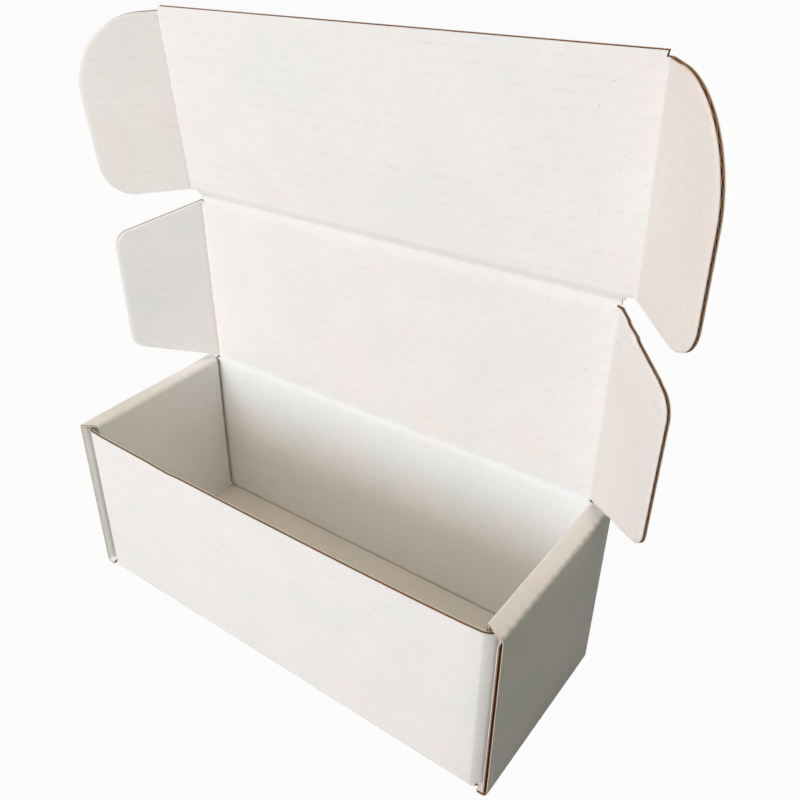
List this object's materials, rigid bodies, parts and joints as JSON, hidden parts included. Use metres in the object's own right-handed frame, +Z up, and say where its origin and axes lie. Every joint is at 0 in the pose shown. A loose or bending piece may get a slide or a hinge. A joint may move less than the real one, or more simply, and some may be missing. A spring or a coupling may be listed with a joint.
{
  "type": "mailer box",
  "caption": "Die-cut corrugated mailing box, white with brown fluted edges: rolled-over side walls, hinged lid with tapered side flaps, and tuck-in front panel with rounded ears, shown open.",
  "frame": {"origin": "centre of the underside of the tray, where it rests", "axes": "+Z up, X along the box, +Y towards the back wall that carries the lid; the front wall faces -Y"},
  "size_m": [0.347, 0.1064, 0.3135],
  "materials": {
    "white_board": "matte"
  },
  "bodies": {
    "tray": {"tray": "white_board"},
    "lid_panel": {"lid_panel": "white_board"},
    "tuck_panel": {"tuck_panel": "white_board"},
    "left_lid_flap": {"left_lid_flap": "white_board"},
    "right_lid_flap": {"right_lid_flap": "white_board"},
    "left_tuck_ear": {"left_tuck_ear": "white_board"},
    "right_tuck_ear": {"right_tuck_ear": "white_board"}
  },
  "joints": [
    {"name": "lid_hinge", "type": "hinge", "parent": "tray", "child": "lid_panel", "pos_m": [0, 0.05195, 0.1059], "axis": [1, 0, 0], "range_deg": [-70, 89]},
    {"name": "tuck_fold", "type": "hinge", "parent": "lid_panel", "child": "tuck_panel", "pos_m": [0, 0.05011, 0.21128], "axis": [1, 0, 0], "range_deg": [-35, 51]},
    {"name": "left_flap_fold", "type": "hinge", "parent": "lid_panel", "child": "left_lid_flap", "pos_m": [-0.126, 0.05195, 0.1059], "axis": [0, -0.0175, 0.9998], "range_deg": [-49.84, 39.2]},
    {"name": "right_flap_fold", "type": "hinge", "parent": "lid_panel", "child": "right_lid_flap", "pos_m": [0.126, 0.05195, 0.1059], "axis": [0, 0.0175, -0.9998], "range_deg": [-51.62, 40.6]},
    {"name": "left_ear_fold", "type": "hinge", "parent": "tuck_panel", "child": "left_tuck_ear", "pos_m": [-0.13278, 0.05011, 0.21128], "axis": [0, -0.1011, 0.9949], "range_deg": [-33, 57]},
    {"name": "right_ear_fold", "type": "hinge", "parent": "tuck_panel", "child": "right_tuck_ear", "pos_m": [0.13278, 0.05011, 0.21128], "axis": [0, 0.1011, -0.9949], "range_deg": [-47, 43]}
  ],
  "couplings": [
    {"joint": "left_flap_fold", "follows": "lid_hinge", "ratio": -0.56},
    {"joint": "right_flap_fold", "follows": "lid_hinge", "ratio": -0.58}
  ]
}
